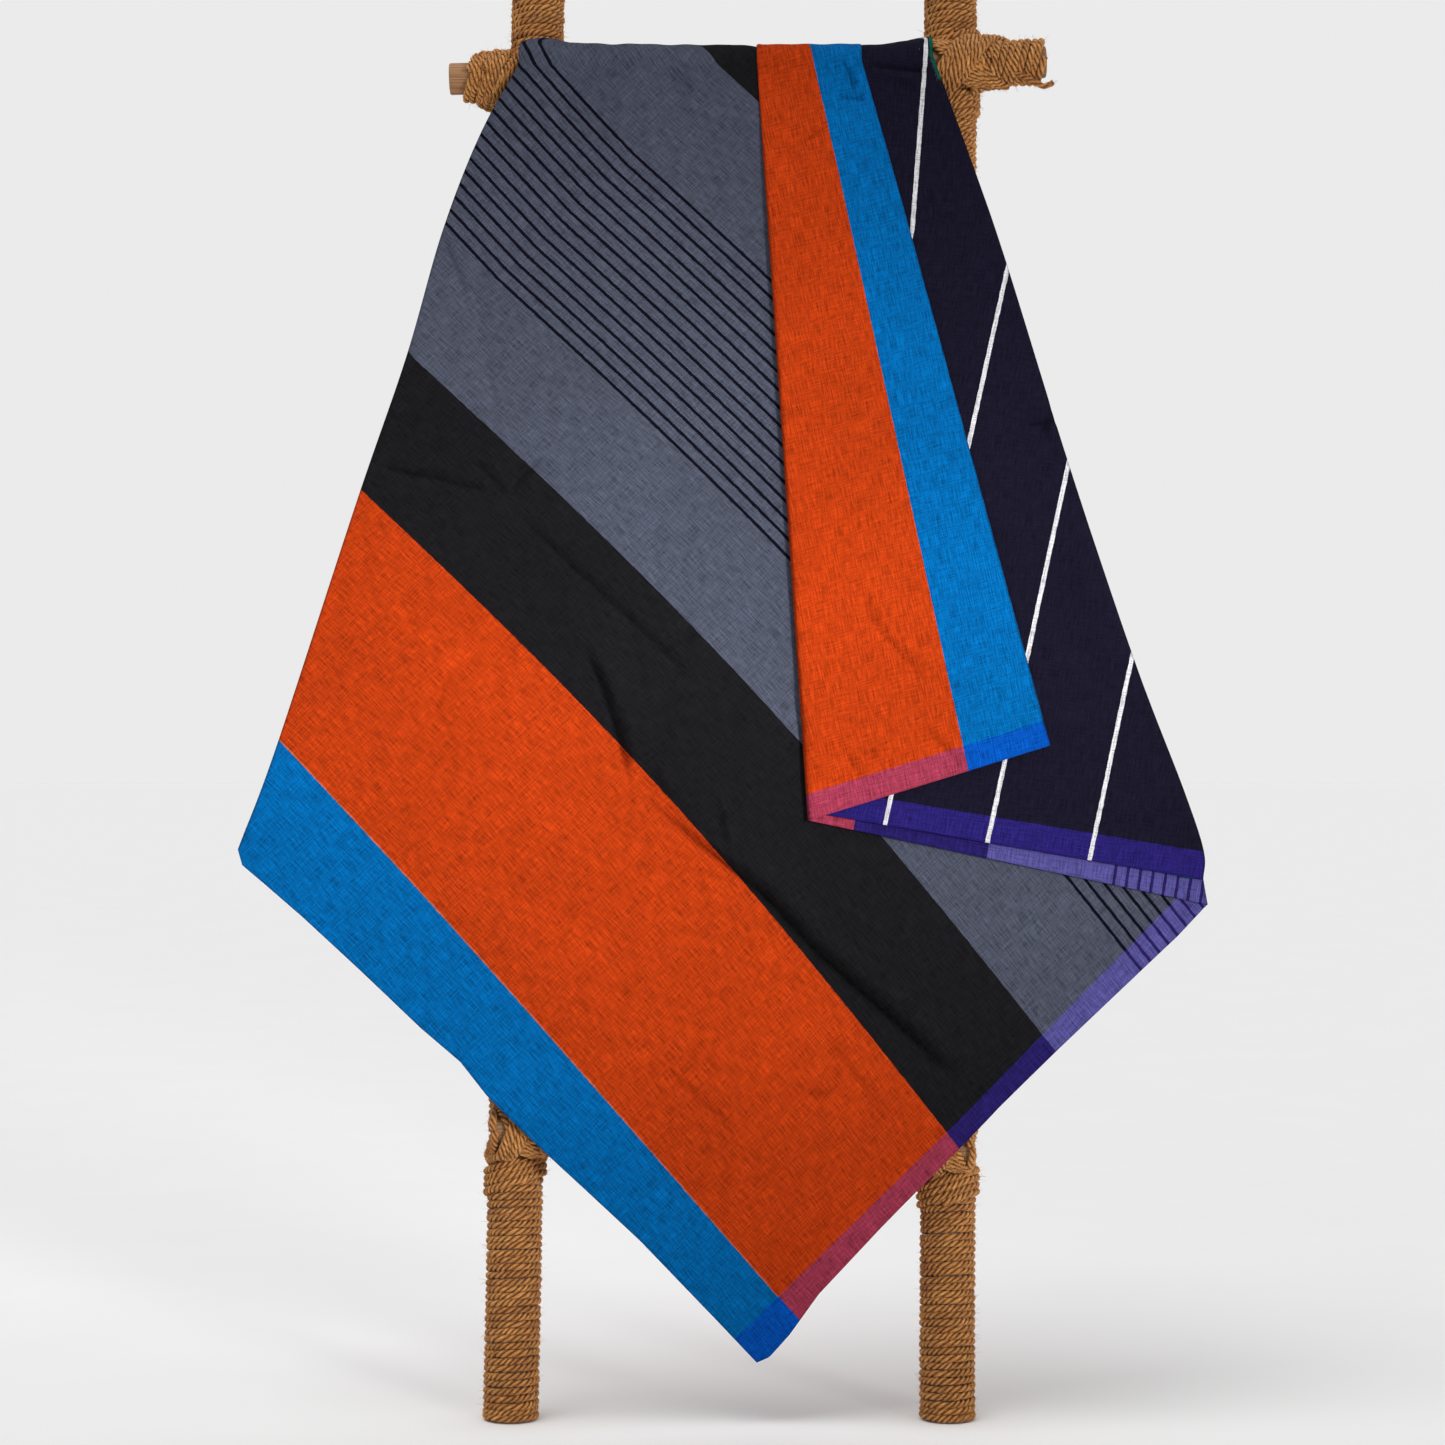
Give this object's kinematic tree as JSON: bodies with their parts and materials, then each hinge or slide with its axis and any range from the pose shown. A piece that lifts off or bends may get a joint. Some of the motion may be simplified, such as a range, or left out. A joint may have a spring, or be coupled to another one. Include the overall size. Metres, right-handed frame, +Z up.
{
  "type": "blanket ladder with draped cloth",
  "caption": "Rope-bound leaning ladder rack with a folded, striped cotton cloth draped over its top rung; the cloth lifts off.",
  "frame": {"origin": "on the floor, at the middle of the whole object's footprint", "axes": "+Z up; +X to the right as seen from the front; +Y from the front towards the wall that the ladder leans on"},
  "size_m": [0.832, 0.2436, 1.3044],
  "materials": {
    "pole_wood": "raw",
    "rung_wood": "raw",
    "jute_rope": "rough",
    "striped_cotton": "matte"
  },
  "bodies": {
    "rack": {"left_rail": "pole_wood", "right_rail": "pole_wood", "rung_1": "rung_wood", "rung_2": "rung_wood", "rung_3": "rung_wood", "top_rung": "rung_wood", "left_winding_1": "jute_rope", "left_winding_2": "jute_rope", "left_winding_3": "jute_rope", "left_winding_4": "jute_rope", "left_winding_5": "jute_rope", "right_winding_1": "jute_rope", "right_winding_2": "jute_rope", "right_winding_3": "jute_rope", "right_winding_4": "jute_rope", "right_winding_5": "jute_rope", "left_lashing_1": "jute_rope", "left_lashing_2": "jute_rope", "left_lashing_3": "jute_rope", "left_lashing_4": "jute_rope", "right_lashing_1": "jute_rope", "right_lashing_2": "jute_rope", "right_lashing_3": "jute_rope", "right_lashing_4": "jute_rope", "left_end_winding": "jute_rope", "right_end_winding": "jute_rope"},
    "cloth": {"cloth": "striped_cotton"}
  },
  "joints": [
    {"name": "cloth_lift", "type": "slide", "parent": "rack", "child": "cloth", "axis": [0, 0, 1], "range_m": [0, 0.5]}
  ]
}
